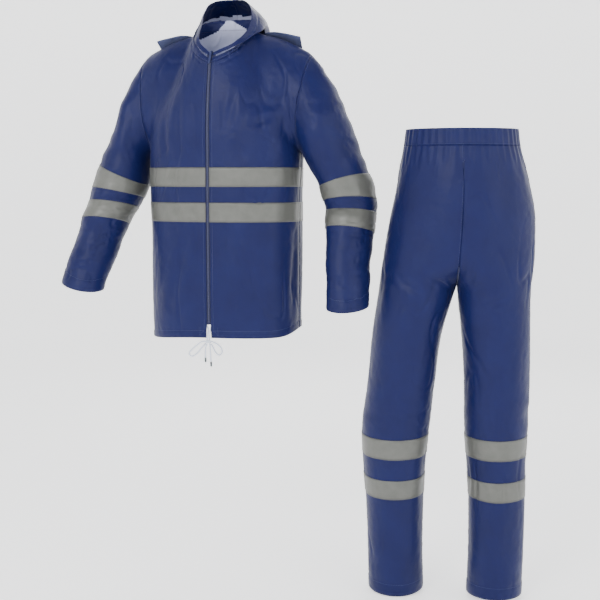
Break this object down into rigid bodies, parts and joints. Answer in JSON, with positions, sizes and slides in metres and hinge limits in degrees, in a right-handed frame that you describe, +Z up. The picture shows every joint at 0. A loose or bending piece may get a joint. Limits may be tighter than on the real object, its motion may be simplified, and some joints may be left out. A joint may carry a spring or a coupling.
{
  "type": "rain suit",
  "caption": "Two-piece navy rain suit with grey reflective tape: hooded zip jacket and elastic-waist trousers, filled out with no wearer.",
  "frame": {"origin": "middle of the jacket's neck at shoulder height, where the wearer's shoulders carry it", "axes": "+Z up, fronts facing -Y; the jacket is turned 17 degrees and the trousers 7 degrees about Z, towards -X, as in the picture"},
  "size_m": [1.1907, 0.4719, 1.5209],
  "materials": {
    "navy_cloth": "coated polyester with a soft semi-matt sheen, pale lilac-grey inside",
    "grey_tape": "fine glass-bead reflective tape, grey",
    "navy_zip": "moulded plastic teeth on woven tape",
    "slider_metal": "satin painted die-cast metal",
    "pale_cord": "braided polyester cord, off-white",
    "dark_tip": "moulded cord ends, dark grey"
  },
  "bodies": {
    "suit": {"jacket_front_left": "navy_cloth", "jacket_front_right": "navy_cloth", "jacket_back": "navy_cloth", "sleeve_left": "navy_cloth", "sleeve_right": "navy_cloth", "hood_left": "navy_cloth", "hood_right": "navy_cloth", "yoke_flap": "navy_cloth", "trouser_front_left": "navy_cloth", "trouser_front_right": "navy_cloth", "trouser_back_left": "navy_cloth", "trouser_back_right": "navy_cloth", "waistband": "navy_cloth", "tape_upper_front_left": "grey_tape", "tape_upper_front_right": "grey_tape", "tape_upper_back": "grey_tape", "tape_upper_sleeve_left": "grey_tape", "tape_upper_sleeve_right": "grey_tape", "tape_upper_leg_left": "grey_tape", "tape_upper_leg_right": "grey_tape", "tape_lower_front_left": "grey_tape", "tape_lower_front_right": "grey_tape", "tape_lower_back": "grey_tape", "tape_lower_sleeve_left": "grey_tape", "tape_lower_sleeve_right": "grey_tape", "tape_lower_leg_left": "grey_tape", "tape_lower_leg_right": "grey_tape", "zip": "navy_zip", "zip_slider": "slider_metal", "cord_lead_left": "pale_cord", "cord_lead_right": "pale_cord", "cord_loop_left": "pale_cord", "cord_loop_right": "pale_cord", "cord_tail_left": "pale_cord", "cord_tail_right": "pale_cord", "cord_knot": "pale_cord", "cord_tip_left": "dark_tip", "cord_tip_right": "dark_tip"},
    "pull_tab": {"zip_pull_tab": "slider_metal"}
  },
  "joints": [
    {"name": "pull_tab_hinge", "type": "hinge", "parent": "suit", "child": "pull_tab", "pos_m": [-0.03229, -0.10562, -0.05828], "axis": [-0.9563, 0.2924, 0], "range_deg": [0, 150]}
  ]
}
